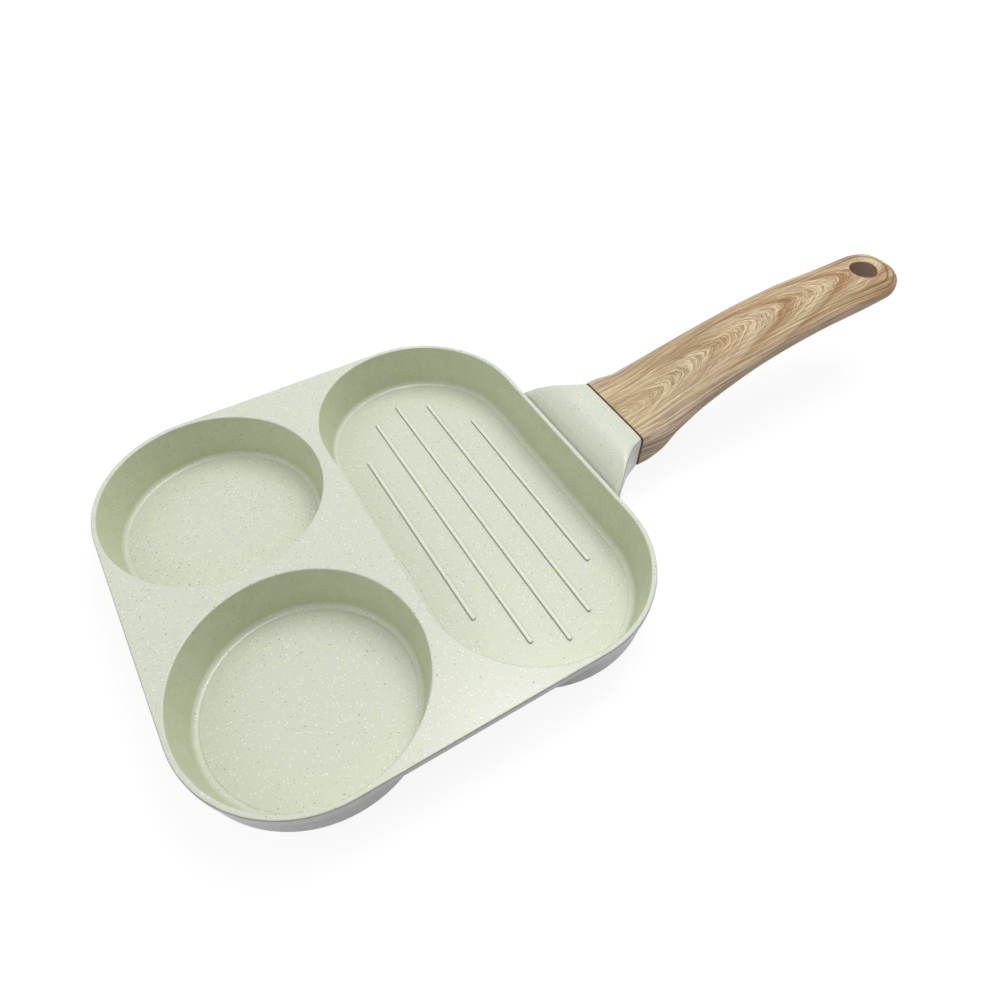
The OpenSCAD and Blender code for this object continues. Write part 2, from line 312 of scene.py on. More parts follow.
def ribTree():  # raised ribs with round ends, the outer ones shorter
    tree = bpy.data.node_groups.new("Grill ribs", "GeometryNodeTree")
    tree.interface.new_socket("Geometry", in_out="OUTPUT", socket_type="NodeSocketGeometry")
    for name, value in ribs.items():
        kind = "NodeSocketInt" if name == "Count" else "NodeSocketFloat"
        tree.interface.new_socket(name, in_out="INPUT", socket_type=kind).default_value = value
    tree.interface.new_socket("Material", in_out="INPUT", socket_type="NodeSocketMaterial")
    add = partial(addNode, tree)
    given = add("NodeGroupInput").node.outputs
    # One point for each rib, in a row along X, which keeps how far its ends are drawn apart
    gaps = add("ShaderNodeMath", (given["Count"], 1.0), operation="SUBTRACT")
    middle = add("ShaderNodeMath", (gaps, 0.5), operation="MULTIPLY")
    step = add("ShaderNodeMath", (add("GeometryNodeInputIndex"), middle), operation="SUBTRACT")
    pointX = add("ShaderNodeMath", (step, given["Pitch"]), operation="MULTIPLY")
    point = add("ShaderNodeCombineXYZ", {"X": pointX, "Z": given["Floor"]})
    points = add("GeometryNodePoints", {"Count": given["Count"], "Position": point})
    radius = add("ShaderNodeMath", (given["Width"], 0.5), operation="MULTIPLY")
    longest = add("ShaderNodeMath", (given["Middle half length"], radius), operation="SUBTRACT")
    squared = add("ShaderNodeMath", (step, step), operation="MULTIPLY")
    shorter = add("ShaderNodeMath", (given["Step"], squared), operation="MULTIPLY")
    reach = add("ShaderNodeMath", (longest, shorter), operation="SUBTRACT")
    marked = add("GeometryNodeStoreNamedAttribute",
                 {"Geometry": points, "Name": "reach", "Value": reach}, domain="POINT")
    # A ball, half sunk in the floor, turned so that no corner lies on its middle, where it is drawn apart
    segments = 48
    ball = add("GeometryNodeMeshUVSphere", {"Segments": segments, "Rings": 24, "Radius": radius})
    inBall = add("ShaderNodeSeparateXYZ", (add("GeometryNodeInputPosition"),)).node.outputs
    level = add("ShaderNodeMath", (inBall["Z"], radius), operation="DIVIDE")
    away = add("ShaderNodeMath", (level,), operation="ABSOLUTE")
    fuller = add("ShaderNodeMath", (away, given["Fullness"]), operation="POWER")
    upOrDown = add("ShaderNodeMath", (level,), operation="SIGN")
    newLevel = add("ShaderNodeMath", (fuller, upOrDown), operation="MULTIPLY")
    newZ = add("ShaderNodeMath", (newLevel, radius), operation="MULTIPLY")
    newPlace = add("ShaderNodeCombineXYZ", (inBall["X"], inBall["Y"], newZ))
    fullBall = add("GeometryNodeSetPosition", {"Geometry": ball, "Position": newPlace})
    flatter = add("ShaderNodeMath", (given["Height"], radius), operation="DIVIDE")
    scale = add("ShaderNodeCombineXYZ", (1.0, 1.0, flatter))
    turned = add("GeometryNodeTransform",
                 {"Geometry": fullBall, "Scale": scale, "Rotation": (0, 0, math.pi / segments)})
    placed = add("GeometryNodeInstanceOnPoints", {"Points": marked, "Instance": turned})
    real = add("GeometryNodeRealizeInstances", {"Geometry": placed})
    # Its two halves are drawn apart along Y
    realY = add("ShaderNodeSeparateXYZ", (add("GeometryNodeInputPosition"),), "Y")
    side = add("ShaderNodeMath", (realY,), operation="SIGN")
    kept = add("GeometryNodeInputNamedAttribute", {"Name": "reach"})
    offsetY = add("ShaderNodeMath", (side, kept), operation="MULTIPLY")
    offset = add("ShaderNodeCombineXYZ", {"Y": offsetY})
    drawn = add("GeometryNodeSetPosition", {"Geometry": real, "Offset": offset})
    painted = add("GeometryNodeSetMaterial", {"Geometry": drawn, "Material": given["Material"]})
    add("NodeGroupOutput", (painted,))
    return tree


def makeRibs(material):
    tree = ribTree()
    obj = newObject("ribs", bpy.data.meshes.new("ribs"))
    step = obj.modifiers.new("Ribs", "NODES")
    step.node_group = tree
    for socket in tree.interface.items_tree:
        if socket.in_out == "INPUT":
            step[socket.identifier] = material if socket.name == "Material" else ribs[socket.name]
    return toPlainMesh(obj)


def makePan():
    body = loft("panShape", plateRings())
    cups = [loft("cup", [wellRing(w, r, z) for r, z in cupProfile(w["radius"])]) for w in wells]
    hollows = [loft("hollow", [wellRing(w, r, z) for r, z in hollowProfile(w["radius"])]) for w in wells]
    tangTop = tangZ + tang["height"]
    tangBlock = block("tang", (seamX - 2 * mm, -tang["width"] / 2, tangZ),
                      (seamX + tang["length"], tang["width"] / 2, tangTop))
    hole = cylinder("thread", screwX, 0, tangZ - mm, tangTop + mm, tang["holeRadius"], 48)
    combine(body, cups + [loft("neck", neckRings()), tangBlock], "UNION")
    combine(body, hollows + [hole], "DIFFERENCE")
    combine(body, [makeRibs(None)], "UNION")
    return body


panBody = makePan()
print("pan body", len(panBody.data.polygons), "faces")

# Handle

handle = {
    "length": 187 * mm,
    "gripHalf": 19.6 * mm,
    "gripThick": 15.6 * mm,
    "gripRise": 30 * mm,
    "tailRound": 16 * mm,
    "tailEdge": 6 * mm,
    "endBreak": 0.7 * mm,
    "endPower": 14,
    "gripPower": 2.6,
    "holeRadius": 7.5 * mm,
    "holeIn": 19 * mm,
    "socketFit": 0.3 * mm,
    "screwHole": 2.75 * mm,
    "counterbore": 4.65 * mm,
    "seat": 2.8 * mm,
    "chin": 16 * mm,
    "steps": 150,
    "tailSteps": 22,
    "around": 128,
    "sharpAngle": 40,
}
holeX = seamX + handle["length"] - handle["holeIn"]


def handleCurves():  # (place from the neck, value), heights from the rim
    length, rise, thick, grip = (handle[k] for k in ("length", "gripRise", "gripThick", "gripHalf"))
    seamRise, seamHalf, chin = neck["seamRise"], neck["seamHalf"], handle["chin"]
    top = [(0, seamRise + 0.1 * mm), (0.107 * length, seamRise + 3.6 * mm),
           (0.24 * length, 0.57 * rise), (0.43 * length, 0.85 * rise), (0.64 * length, 0.99 * rise),
           (0.83 * length, rise), (length, 1.04 * rise)]
    front = seamRise - neck["seamHeight"]
    chinZ, bend = front + 1.2 * mm, 0.4 * rise - thick - 0.2 * mm
    bottom = [(0, front), (chin / 2, (front + chinZ) / 2), (chin, chinZ),
              (chin + 7 * mm, 0.36 * chinZ + 0.64 * bend), (chin + 15 * mm, bend),
              (0.267 * length, 0.6 * rise - thick), (0.455 * length, 0.87 * rise - thick),
              (0.64 * length, 0.97 * rise - thick + 1.3 * mm), (0.83 * length, rise - thick + 1.4 * mm),
              (length, rise - thick + 3 * mm)]
    half = [(0, seamHalf + 0.3 * mm), (chin / 2, seamHalf + 1.7 * mm),
            (0.107 * length, seamHalf + 0.9 * mm), (0.214 * length, grip + 2.3 * mm),
            (0.374 * length, grip + 0.3 * mm), (0.56 * length, grip - 0.5 * mm),
            (0.75 * length, grip - 1.1 * mm), (length, grip - 2.2 * mm)]
    return top, bottom, half


def handleRings():
    top, bottom, half = handleCurves()
    length, tailRound, endBreak = handle["length"], handle["tailRound"], handle["endBreak"]
    endPower, gripPower = handle["endPower"], handle["gripPower"]
    straight = length - tailRound
    around = handle["around"]
    angles = [2 * math.pi * (i + 0.5) / around - math.pi / 2 for i in range(around)]

    def shrink(d, reach, roundness):
        return (1 - (max(d - length + reach, 0) / reach) ** roundness) ** (1 / roundness)
    places = [endBreak + (straight - endBreak) * i / handle["steps"] for i in range(handle["steps"] + 1)]
    for i in range(1, handle["tailSteps"] + 1):
        places.append(straight + tailRound * math.sin(math.radians(89.6 * i / handle["tailSteps"])))
    rings = [section(seamX, curveAt(half, 0) - endBreak, pan["height"] + curveAt(top, 0) - endBreak,
                     pan["height"] + curveAt(bottom, 0) + endBreak, endPower, angles)]
    for d in places:
        thick = (curveAt(top, d) - curveAt(bottom, d)) / 2
        middle = pan["height"] + curveAt(bottom, d) + thick
        thick *= shrink(d, handle["tailEdge"], 2)
        power = gripPower + (endPower - gripPower) * math.exp(-d / (6 * mm))
        rings.append(section(seamX + d, curveAt(half, d) * shrink(d, tailRound, 2.3),
                             middle + thick, middle - thick, power, angles))
    return rings


def storeGirth(obj, rings):  # distance round the skin from the handle's upper middle line
    tree = KDTree(len(rings) * len(rings[0]))
    girths = []
    for ring in rings:
        points = [Vector(p) for p in ring]
        count = len(points)
        steps = [(points[i] - points[i - 1]).length for i in range(count)]
        run = np.cumsum([0] + steps[1:])
        around = run[-1] + steps[0]
        topPlace = np.interp(count / 2 - 0.5, range(count), run)
        for i, point in enumerate(points):
            away = abs(run[i] - topPlace)
            tree.insert(point, len(girths))
            girths.append(math.copysign(min(away, around - away), point.y))
    tree.balance()
    girth = obj.data.attributes.new("girth", "FLOAT", "POINT")
    for vertex in obj.data.vertices:
        near = tree.find_n(vertex.co, 3)
        weights = [1 / (distance + 1e-7) for _, _, distance in near]
        total = sum(w * girths[n[1]] for w, n in zip(weights, near))
        girth.data[vertex.index].value = total / sum(weights)


def makeHandle():
    rings = handleRings()
    body = loft("handleShape", rings)
    fit = handle["socketFit"]
    socket = block("socket", (seamX - mm, -tang["width"] / 2 - fit, tangZ),
                   (seamX + tang["length"] + fit, tang["width"] / 2 + fit, tangZ + tang["height"] + fit))
    seatZ = tangZ - handle["seat"]
    tools = [socket,
             cylinder("counterbore", screwX, 0, 0, seatZ, handle["counterbore"]),
             cylinder("screwHole", screwX, 0, seatZ - mm, tangZ + mm, handle["screwHole"], 48),
             cylinder("hangHole", holeX, 0, 0, 90 * mm, handle["holeRadius"], 128)]
    combine(body, tools, "DIFFERENCE")
    storeGirth(body, rings)
    return body


handleBody = makeHandle()
print("handle", len(handleBody.data.polygons), "faces")

for obj, piece in ((panBody, pan), (handleBody, handle)):
    finishShading(obj, piece["sharpAngle"])
print("edges and shading finished")

# Materials


def newMaterial(name, **settings):  # and its tree and shader, with what is the same all over set on it
    material = bpy.data.materials.new(name)
    material.use_nodes = True
    shader = material.node_tree.nodes["Principled BSDF"]
    for key, value in settings.items():
        shader.inputs[key].default_value = value
    return material, material.node_tree, shader


def withColours(look):  # a copy of a material's values, with its hex colours turned linear
    return {key: toLinear(value) if isinstance(value, str) else value for key, value in look.items()}


def layered(tree, colour, layers):  # lays each layer's colour over the last one, by its share
    for share, over in layers:
        colour = addNode(tree, "ShaderNodeMix", {0: share, 6: colour, 7: over}, 2, data_type="RGBA")
    return colour


def flecks(tree, place, share, cell, size, shift, strength):  # round flecks in a share of the cells
    add = partial(addNode, tree)
    softEdge = 0.22 * mm
    moved = add("ShaderNodeVectorMath", (place, (shift, shift, shift)), operation="ADD")
    cells = add("ShaderNodeTexVoronoi", {"Vector": moved, "Scale": 1 / cell}).node.outputs
    chance = add("ShaderNodeSeparateColor", (cells["Color"],)).node.outputs
    radius = add("ShaderNodeMapRange", (chance["Red"], 0, 1, size[0] / cell, size[1] / cell))
    depth = add("ShaderNodeMath", (radius, cells["Distance"]), operation="SUBTRACT")
    inside = add("ShaderNodeMapRange", (depth, 0, softEdge / cell, 0, strength))
    chosen = add("ShaderNodeMath", (chance["Green"], share), operation="LESS_THAN")
    return add("ShaderNodeMath", (inside, chosen), operation="MULTIPLY")


# A ceramic non-stick coat, sprayed on the casting and baked. It is a thin glass-like skin with the dull
# shine of eggshell, a little uneven where the spray dried, and carries flecks of three colours.
# Pattern sizes are lengths on the pan. The spray's own grain is too fine to show, so it is drawn coarser.
coatLook = {
    "floor": "#D1D5C4",  # the sage coat on level faces
    "wall": "#C4CBAC",  # painted shade: steep faces get a deeper olive, for the shade and green bounce light on the walls
    "blotch": "#B3BE8E",
    "outside": "#BEBFBC",
    "cup": "#8D8F8C",
    # the neck's green-grey coat, made paler as painted light on its flanks
    "neck": "#DADCD4",
    "streakColour": "#FFFFFF",
    "edge": "#888A82",  # painted shade: a dark line under the rim's rounded edge, where the two coats meet
    "cream": "#F0F3E8",
    "dark": "#747A5C",
    "yellow": "#D9E377",
    # The flecks' spacing, least and greatest radius, and how strongly they show
    "creamFlecks": {"cell": 1.35 * mm, "size": (0.2 * mm, 0.55 * mm), "shift": 0.0, "strength": 1.0},
    "fineFlecks": {"cell": 0.8 * mm, "size": (0.15 * mm, 0.34 * mm), "shift": 0.3, "strength": 0.7},
    "darkFlecks": {"cell": 1.35 * mm, "size": (0.2 * mm, 0.42 * mm), "shift": 0.1, "strength": 0.75},
    "yellowFlecks": {"cell": 5 * mm, "size": (0.6 * mm, 1.1 * mm), "shift": 0.2, "strength": 0.55},
    # The shares of the cells with a fleck in them, where two are given between sparse and crowded patches
    "creamShare": (0.55, 0.95),
    "fineShare": 0.95,
    "darkShare": (0.14, 0.35),
    "darkMore": 0.45,  # what one round well has on top of that
    "darkReach": (60 * mm, 40 * mm),  # from here inwards round that well's middle
    "yellowShare": 0.16,
    "levelFlecks": 0.7,  # how strongly the pale ones show on level and steep faces, and on the neck
    "steepFlecks": 0.18,
    "neckFlecks": 0.65,
    "wobble": 0.4 * mm,  # over this length the flecks' edges wander
    "wander": 0.7 * mm,  # and this is how strongly
    "cloud": 6.25 * mm,
    "mottle": 1.1 * mm,
    "creamCrowd": 11 * mm,
    "darkCrowd": 40 * mm,
    "streak": 1.4 * mm,
    "grain": 0.7 * mm,
    "cloudShare": 0.3,
    "mottleShare": 0.1,
    "streakShare": 0.12,
    "ribHighlightShare": 0.45,
    "ribShadeShare": 0.7,
    "rimShadeShare": 0.85,
    "ribHighlightStart": (0.4 * mm, 0.8 * mm),  # heights over the floor between which a rib's painted highlight starts
    "ribHighlightEnd": (1.8 * mm, 1.3 * mm),
    # heights over the floor where the painted shade on a rib's side ends
    "ribShadeEnd": (0.85 * mm, 0.4 * mm),
    "neckStart": (54 * mm, 58 * mm),
    "cupShade": (21.5 * mm, 16 * mm),  # painted shade: the heights between which the outside darkens towards the underside
    "roughness": (0.27, 0.34),
    "bump": 0.05 * mm,
}


def makeCoat():
    material, tree, shader = newMaterial("Speckled ceramic coat", IOR=1.48)
    add = partial(addNode, tree)
    look = withColours(coatLook)
    place = add("ShaderNodeTexCoord", output="Object")
    spot = add("ShaderNodeSeparateXYZ", (place,)).node.outputs
    height = spot["Z"]
    normal = add("ShaderNodeNewGeometry", output="Normal")
    level = add("ShaderNodeSeparateXYZ", (normal,), "Z")
    steep = add("ShaderNodeMapRange", (level, 0.95, 0.3), interpolation_type="SMOOTHSTEP")
    onNeck = add("ShaderNodeMapRange", (spot["X"], *look["neckStart"]))
    # Noise patches, each of its own size and roughness
    patches = {}
    for name, detail, roughness in (("cloud", 4, 0.6), ("mottle", 3, 0.6), ("creamCrowd", 2, 0.5),
                                    ("darkCrowd", 1, 0.5), ("grain", 2, 0.5)):
        patches[name] = add("ShaderNodeTexNoise", {"Vector": place, "Scale": 1 / look[name],
                                                   "Detail": detail, "Roughness": roughness})
    # Clouded walls and a fine mottle all over
    cloud = add("ShaderNodeMapRange", (patches["cloud"], 0.42, 0.62, 0, look["cloudShare"]))
    # painted shade: the deeper olive for steep faces, with random clouds in it
    wall = layered(tree, look["wall"], [(cloud, look["blotch"])])
    mottled = add("ShaderNodeMapRange", (patches["mottle"], 0.3, 0.7, 0, look["mottleShare"]))
    # Painted highlight on top of the ribs, and painted shade down their steep sides
    rise = add("ShaderNodeMath", (height, pan["floor"]), operation="SUBTRACT")
    aboveFoot = add("ShaderNodeMapRange", (rise, *look["ribHighlightStart"]))
    belowEnd = add("ShaderNodeMapRange", (rise, *look["ribHighlightEnd"]))
    onRib = add("ShaderNodeMath", (aboveFoot, belowEnd), operation="MULTIPLY")
    levelTop = add("ShaderNodeMapRange", (level, 0.8, 0.92, 0, look["ribHighlightShare"]))
    ribHighlight = add("ShaderNodeMath", (onRib, levelTop), operation="MULTIPLY")
    belowCrest = add("ShaderNodeMapRange", (rise, *look["ribShadeEnd"]))
    overFloor = add("ShaderNodeMapRange", (rise, -0.1 * mm, 0))
    lowRib = add("ShaderNodeMath", (belowCrest, overFloor), operation="MULTIPLY")
    steepSide = add("ShaderNodeMapRange", (level, 0.8, 0.45, 0, look["ribShadeShare"]))
    # painted shade down the ribs' steep sides
    foot = add("ShaderNodeMath", (lowRib, steepSide), operation="MULTIPLY")
    # Flecks with wandering edges, fainter on steep faces and on the neck
    wobble = add("ShaderNodeTexNoise", {"Vector": place, "Scale": 1 / look["wobble"], "Detail": 1}, "Color")
    wandering = add("ShaderNodeVectorMath", (wobble, [look["wander"]] * 3, place), operation="MULTIPLY_ADD")
    faintWall = add("ShaderNodeMapRange", (steep, 0, 1, look["levelFlecks"], look["steepFlecks"]))
    faintNeck = add("ShaderNodeMapRange", (onNeck, 0, 1, 1, look["neckFlecks"]))
    faint = add("ShaderNodeMath", (faintWall, faintNeck), operation="MULTIPLY")
    creamShare = add("ShaderNodeMapRange", (patches["creamCrowd"], 0.35, 0.6, *look["creamShare"]))
    cream = flecks(tree, wandering, creamShare, **look["creamFlecks"])
    fine = flecks(tree, wandering, look["fineShare"], **look["fineFlecks"])
    strongest = add("ShaderNodeMath", (cream, fine), operation="MAXIMUM")
    pale = add("ShaderNodeMath", (strongest, faint), operation="MULTIPLY")
    darkPatches = add("ShaderNodeMapRange", (patches["darkCrowd"], 0.4, 0.6, *look["darkShare"]))
    wellMiddle = (wells[0]["x"], wells[0]["y"], pan["floor"])
    fromWell = add("ShaderNodeVectorMath", (place, wellMiddle), "Value", operation="DISTANCE")
    inWell = add("ShaderNodeMapRange", (fromWell, *look["darkReach"], 0, look["darkMore"]))
    darkShare = add("ShaderNodeMath", (darkPatches, inWell), operation="ADD")
    speckled = layered(tree, look["floor"], [
        (steep, wall),
        (mottled, look["cream"]),
        # painted highlight on the ribs' tops
        (ribHighlight, look["cream"]),
        (foot, look["dark"]),
        (pale, look["cream"]),
        (flecks(tree, wandering, darkShare, **look["darkFlecks"]), look["dark"]),
        (flecks(tree, wandering, look["yellowShare"], **look["yellowFlecks"]), look["yellow"]),
    ])
    # The outer coat has no flecks, but faint upright streaks
    # painted shade: darker towards the underside
    shade = add("ShaderNodeMapRange", (height, *look["cupShade"]))
    stretched = add("ShaderNodeVectorMath", (place, (1, 1, 0.03)), operation="MULTIPLY")
    streak = add("ShaderNodeTexNoise", {"Vector": stretched, "Scale": 1 / look["streak"], "Detail": 3})
    streaks = add("ShaderNodeMapRange", (streak, 0.3, 0.7, 0, look["streakShare"]))
    grey = layered(tree, look["outside"], [
        (shade, look["cup"]),
        (onNeck, look["neck"]),
        (streaks, look["streakColour"]),
    ])
    outside = add("ShaderNodeAttribute", output="Fac", attribute_name="outside")
    past = add("ShaderNodeMath", (outside, 0.5), operation="SUBTRACT")
    fromBorder = add("ShaderNodeMath", (past,), operation="ABSOLUTE")
    colour = layered(tree, speckled, [
        (add("ShaderNodeMapRange", (outside, 0.45, 0.55)), grey),
        # painted shade: the dark line along the rim
        (add("ShaderNodeMapRange", (fromBorder, 0.25, 0.45, look["rimShadeShare"], 0)), look["edge"]),
    ])
    tree.links.new(colour, shader.inputs["Base Color"])
    roughness = add("ShaderNodeMapRange", (patches["mottle"], 0.2, 0.8, *look["roughness"]))
    tree.links.new(roughness, shader.inputs["Roughness"])
    grain = add("ShaderNodeMath", (pale, 0.5, patches["grain"]), operation="MULTIPLY_ADD")
    bump = add("ShaderNodeBump", {"Height": grain, "Strength": 0.25, "Distance": look["bump"]})
    tree.links.new(bump, shader.inputs["Normal"])
    return material


# A printed wood grain film on the phenolic handle, under a matt clear coat. The grain is colour only, with
# hardly any relief, and shines softly and evenly. Lengths are in millimetres along and across the handle.
woodLook = {
    "cream": "#E2CFAA",
    "tan": "#D2B78C",
    "brown": "#A67C4C",
    "line": "#6E4822",
    "pore": "#6E4C2B",
    "front": "#DCCBA1",  # the film is paler towards the neck
    "side": "#F0DAC8",  # and rosier down the sides, and paler there as painted light
    "ring": 45.0,  # between the main arches along the handle
    "first": 140.0,  # where one of them has its tip
    "archRound": 7.0,  # beyond this distance from the middle line an arch's arms are nearly straight
    "archLength": 4.8,  # how far they run back for each mm across
    "driftFrom": 100.0,  # where the middle line lies at driftStart
    "driftStart": -3.5,
    "drift": 0.043,  # how far it goes across for each mm along
    "waver": (60, 25, 1),  # the length and width of the patches that a pattern is made of
    "warp": (14, 5, 1),
    "growth": (2, 40, 24),  # here from arch to arch, along and across
    "bold": (130, 2.1, 1),
    "fibre": (60, 0.7, 1),  # a real one is finer, and wouldn't show
    "pit": (3.5, 0.4, 1),
    "waverBy": 5.0,  # how strongly the grain and the arches waver
    "warpBy": 8.0,
    "tailMiddle": 250.0,  # the lines round the tail bend about this place
    "roughness": (0.5, 0.64),
    "bump": 0.05 * mm,
}
archColours = [  # from one arch to the next
    (0.0, "cream"),
    (0.03, "brown"),
    (0.16, "brown"),
    (0.36, "tan"),
    (0.62, "cream"),
    (1.0, "cream"),
]


def makeWood():
    material, tree, shader = newMaterial("Printed wood grain film", IOR=1.5)
    add = partial(addNode, tree)
    look = withColours(woodLook)
    place = add("ShaderNodeTexCoord", output="Object")
    placeX = add("ShaderNodeSeparateXYZ", (place,), "X")
    along = add("ShaderNodeMath", (placeX, 1 / mm), operation="MULTIPLY")
    storedGirth = add("ShaderNodeAttribute", output="Fac", attribute_name="girth")
    girth = add("ShaderNodeMath", (storedGirth, 1 / mm), operation="MULTIPLY")
    across = add("ShaderNodeMath", (girth,), operation="ABSOLUTE")

    def patches(coordinates, lengths, detail, roughness):  # noise whose patches have the given lengths
        spot = add("ShaderNodeCombineXYZ", coordinates)
        scaled = add("ShaderNodeVectorMath", (spot, lengths), operation="DIVIDE")
        return add("ShaderNodeTexNoise",
                   {"Vector": scaled, "Scale": 1, "Detail": detail, "Roughness": roughness})

    def shifted(value, amount, coordinate):  # the coordinate, moved both ways by a noise value
        centred = add("ShaderNodeMath", (value, 0.5), operation="SUBTRACT")
        return add("ShaderNodeMath", (centred, amount, coordinate), operation="MULTIPLY_ADD")

    def thinLine(value, level, width, strength=1.0):  # a line where the value crosses the level
        past = add("ShaderNodeMath", (value, level), operation="SUBTRACT")
        away = add("ShaderNodeMath", (past,), operation="ABSOLUTE")
        return add("ShaderNodeMapRange", (away, 0, width, strength, 0))
    # The arches' middle line drifts across the handle
    wavy = shifted(patches((along, girth, 0), look["waver"], 1, 0.55), look["waverBy"], girth)
    ahead = add("ShaderNodeMath", (along, look["driftFrom"]), operation="SUBTRACT")
    drift = add("ShaderNodeMath", (ahead, look["drift"], look["driftStart"]), operation="MULTIPLY_ADD")
    fade = add("ShaderNodeMapRange", (across, 14, 24, 1, 0))
    middle = add("ShaderNodeMath", (drift, fade), operation="MULTIPLY")
    aside = add("ShaderNodeMath", (wavy, middle), operation="SUBTRACT")
    away = add("ShaderNodeMath", (aside,), operation="ABSOLUTE")
    # Each arch is a round tip with two long arms
    archRound, archLength = look["archRound"], look["archLength"]
    squares = add("ShaderNodeMath", (away, away, archRound ** 2), operation="MULTIPLY_ADD")
    bow = add("ShaderNodeMath", (squares,), operation="SQRT")
    arch = add("ShaderNodeMath", (bow, archLength, -archRound * archLength), operation="MULTIPLY_ADD")
    archPlace = add("ShaderNodeMath", (along, arch), operation="ADD")
    ringPlace = shifted(patches((along, girth, 3), look["warp"], 2, 0.55), look["warpBy"], archPlace)
    fromFirst = add("ShaderNodeMath", (ringPlace, look["first"]), operation="SUBTRACT")
    turns = add("ShaderNodeMath", (fromFirst, look["ring"]), operation="DIVIDE")
    turn = add("ShaderNodeMath", (turns,), operation="FRACT")
    colours = add("ShaderNodeValToRGB", (turn,))
    stops = colours.node.color_ramp
    while len(stops.elements) < len(archColours):
        stops.elements.new(0.5)
    for element, (position, name) in zip(stops.elements, archColours):
        element.position = position
        element.color = look[name]
    # Where the arches, the lines of growth and the plain flanks show
    plain = add("ShaderNodeMapRange", (along, 82, 108, 1, 0))  # hardly any arches beside the neck
    plainFront = add("ShaderNodeMath", (plain, 0.8), operation="MULTIPLY")
    plainSide = add("ShaderNodeMapRange", (away, 9, 17, 0.1, 0.8))
    noArches = add("ShaderNodeMath", (plainSide, plainFront), operation="MAXIMUM")
    growthSide = add("ShaderNodeMapRange", (away, 7, 15, 1, 0.2))
    growthFront = add("ShaderNodeMath", (plain, -0.7, 1.0), operation="MULTIPLY_ADD")
    tips = add("ShaderNodeMath", (growthSide, growthFront), operation="MULTIPLY")
    flankSide = add("ShaderNodeMapRange", (away, 4, 12, 0.2, 1))
    flank = add("ShaderNodeMath", (flankSide, plain), operation="MAXIMUM")
    fibreShare = add("ShaderNodeMapRange", (away, 4, 12, 0.3, 0.65))
    # Growth lines that follow the arches, bold lines, fibres and pores along the grain
    growth = patches((ringPlace, along, girth), look["growth"], 3, 0.7)
    bold = patches((along, wavy, 0), look["bold"], 3, 0.6)
    fibres = patches((along, wavy, 0), look["fibre"], 3, 0.65)
    pores = patches((along, girth, 0), look["pit"], 1, 0.55)
    boldLines = add("ShaderNodeMath", (thinLine(bold, 0.45, 0.055, 0.75), thinLine(bold, 0.55, 0.055, 0.75)),
                    operation="MAXIMUM")
    # Lines and brown round the tail
    beyond = add("ShaderNodeMath", (along, look["tailMiddle"]), operation="SUBTRACT")
    past = add("ShaderNodeMath", (beyond, 0.0), operation="MAXIMUM")
    wavySquare = add("ShaderNodeMath", (wavy, wavy), operation="MULTIPLY")
    reachSquare = add("ShaderNodeMath", (past, past, wavySquare), operation="MULTIPLY_ADD")
    reach = add("ShaderNodeMath", (reachSquare,), operation="SQRT")
    tailLines = add("ShaderNodeMath", (thinLine(reach, 12.2, 0.9), thinLine(reach, 15.6, 0.6)),
                    operation="MAXIMUM")
    # Each layer: how strongly its pattern shows, what limits that, and its colour
    layers = [
        (noArches, 1, "tan"),
        (add("ShaderNodeMapRange", (along, 165, 105, 0, 0.7)), 1, "front"),
        # a rosy tint down the sides, with painted light in its paleness
        (add("ShaderNodeMapRange", (across, 15, 25, 0, 0.85)), 1, "side"),
        (add("ShaderNodeMapRange", (growth, 0.5, 0.66, 0, 0.35)), tips, "brown"),
        (add("ShaderNodeMapRange", (growth, 0.47, 0.34, 0, 0.6)), tips, "cream"),
        (thinLine(growth, 0.53, 0.06, 0.9), tips, "line"),
        (add("ShaderNodeMapRange", (bold, 0.5, 0.7, 0, 0.2)), flank, "brown"),
        (boldLines, flank, "line"),
        (add("ShaderNodeMapRange", (fibres, 0.48, 0.66)), fibreShare, "line"),
        (add("ShaderNodeMapRange", (fibres, 0.5, 0.3, 0, 0.8)), fibreShare, "cream"),
        (add("ShaderNodeMapRange", (pores, 0.62, 0.7, 0, 0.5)), 1, "pore"),
        (add("ShaderNodeMapRange", (reach, 9, 16, 0, 0.4)),
         add("ShaderNodeMapRange", (along, 222, 248)), "brown"),
        (tailLines, add("ShaderNodeMapRange", (along, 215, 245)), "line"),
    ]
    shares = [add("ShaderNodeMath", (pattern, limit), operation="MULTIPLY") for pattern, limit, _ in layers]
    colour = layered(tree, colours, [(share, look[name]) for share, (_, _, name) in zip(shares, layers)])
    tree.links.new(colour, shader.inputs["Base Color"])
    roughness = add("ShaderNodeMapRange", (fibres, 0.3, 0.7, *look["roughness"]))
    tree.links.new(roughness, shader.inputs["Roughness"])
    bump = add("ShaderNodeBump", {"Height": fibres, "Strength": 0.15, "Distance": look["bump"]})
    tree.links.new(bump, shader.inputs["Normal"])
    return material


# Brown phenolic, hot-pressed from resin and wood flour, shows where the film ends. The flour gives it a dull,
# slightly mottled face. The narrow bare edge at the neck is darkened further as painted shade, for the shadow
# in the gap there.
# Zinc plated steel, on the screw, is a bright grey metal, dulled in small clouds by the plating bath.
# The real mottle of both is finer, and is drawn as coarse as it needs to show.
mottledLooks = {
    "Brown phenolic": {"first": "#9A8271", "second": "#AB9281", "size": 1.1 * mm,
                       "roughness": (0.45, 0.6), "settings": {"IOR": 1.55}},
    "Bare phenolic edge in painted shade": {"first": "#543D28", "second": "#614833", "size": 1.1 * mm,
                           "roughness": (0.45, 0.6), "settings": {"IOR": 1.55}},
    "Zinc plated steel": {"first": "#A9ABAE", "second": "#C2C3C4", "size": 0.7 * mm,
                          "roughness": (0.28, 0.42), "settings": {"Metallic": 1.0}},
}


